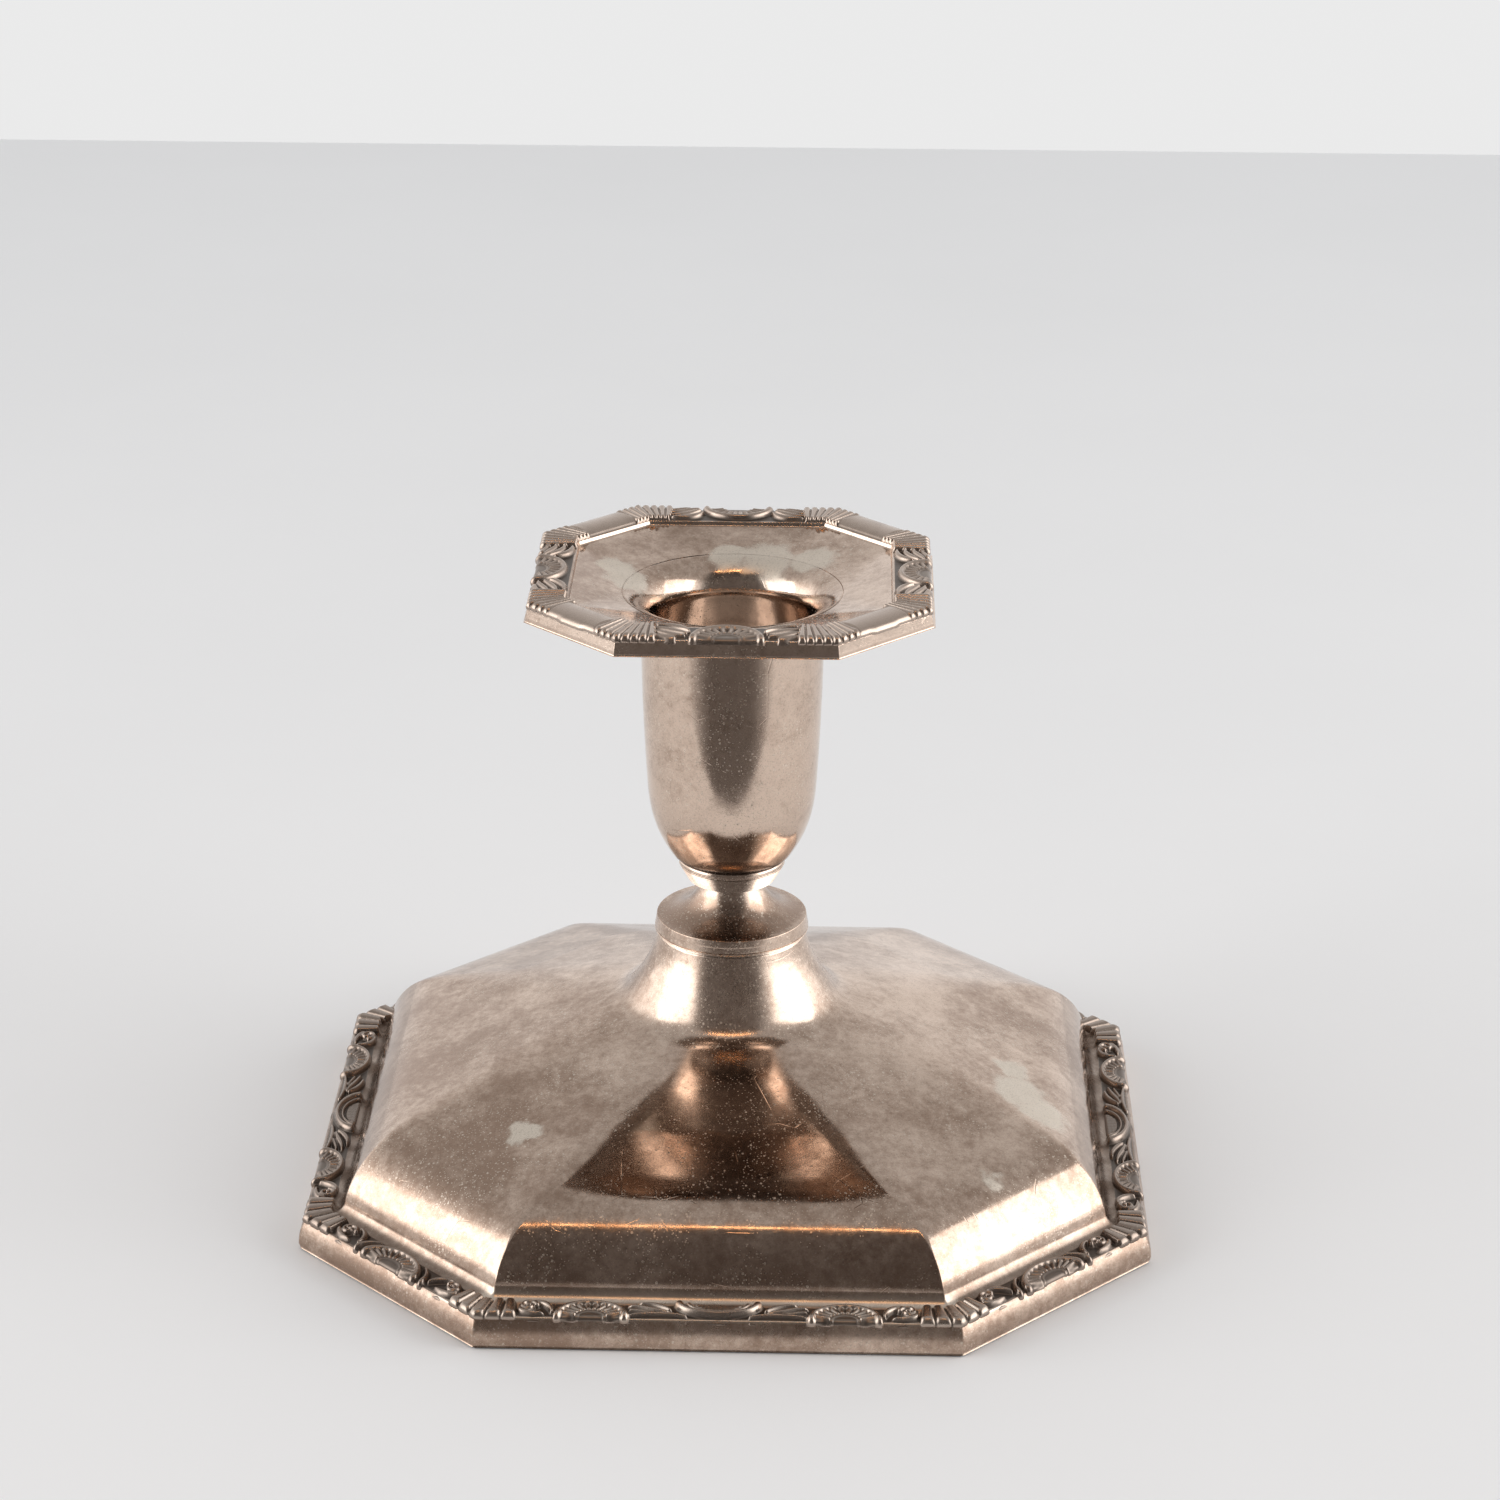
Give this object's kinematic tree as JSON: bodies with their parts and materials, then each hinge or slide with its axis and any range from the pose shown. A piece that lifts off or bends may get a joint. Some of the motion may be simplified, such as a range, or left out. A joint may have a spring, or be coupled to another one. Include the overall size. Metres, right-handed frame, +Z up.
{
  "type": "candlestick",
  "caption": "Low candlestick with a canted-square weighted base, a turned knop, an urn socket and a lift-out nozzle with an octagonal drip pan.",
  "frame": {"origin": "centre of the underside of the felt pad", "axes": "+Z up the candlestick's axis, out of the candle bore; -Y faces the front, square to one long side of the base"},
  "size_m": [0.12, 0.12, 0.0914],
  "materials": {
    "silver_plate": "polished silver plate on brass, with brown tarnish and worn pale patches",
    "silver_ornament": "stamped silver-plated ornament, dark tarnish in the hollows",
    "steel": "plain steel fastenings",
    "closing_plate": "plain steel sheet",
    "filling": "matt pitch and plaster",
    "felt": "dark green baize felt"
  },
  "bodies": {
    "candlestick": {"base_shell": "silver_plate", "base_filling": "filling", "base_plate": "closing_plate", "felt_pad": "felt", "stem_knop": "silver_plate", "socket_foot_ring": "silver_plate", "socket_cup": "silver_plate", "tie_rod": "steel", "socket_nut": "steel", "neck_nut": "steel", "neck_washer": "steel", "base_border_front": "silver_ornament", "base_border_front_right": "silver_ornament", "base_border_right": "silver_ornament", "base_border_back_right": "silver_ornament", "base_border_back": "silver_ornament", "base_border_back_left": "silver_ornament", "base_border_left": "silver_ornament", "base_border_front_left": "silver_ornament"},
    "nozzle": {"nozzle_sleeve": "silver_plate", "drip_pan": "silver_plate", "pan_border_front": "silver_ornament", "pan_border_front_right": "silver_ornament", "pan_border_right": "silver_ornament", "pan_border_back_right": "silver_ornament", "pan_border_back": "silver_ornament", "pan_border_back_left": "silver_ornament", "pan_border_left": "silver_ornament", "pan_border_front_left": "silver_ornament"}
  },
  "joints": [
    {"name": "nozzle_lift", "type": "slide", "parent": "candlestick", "child": "nozzle", "axis": [0, 0, 1], "range_m": [0, 0.03]}
  ]
}
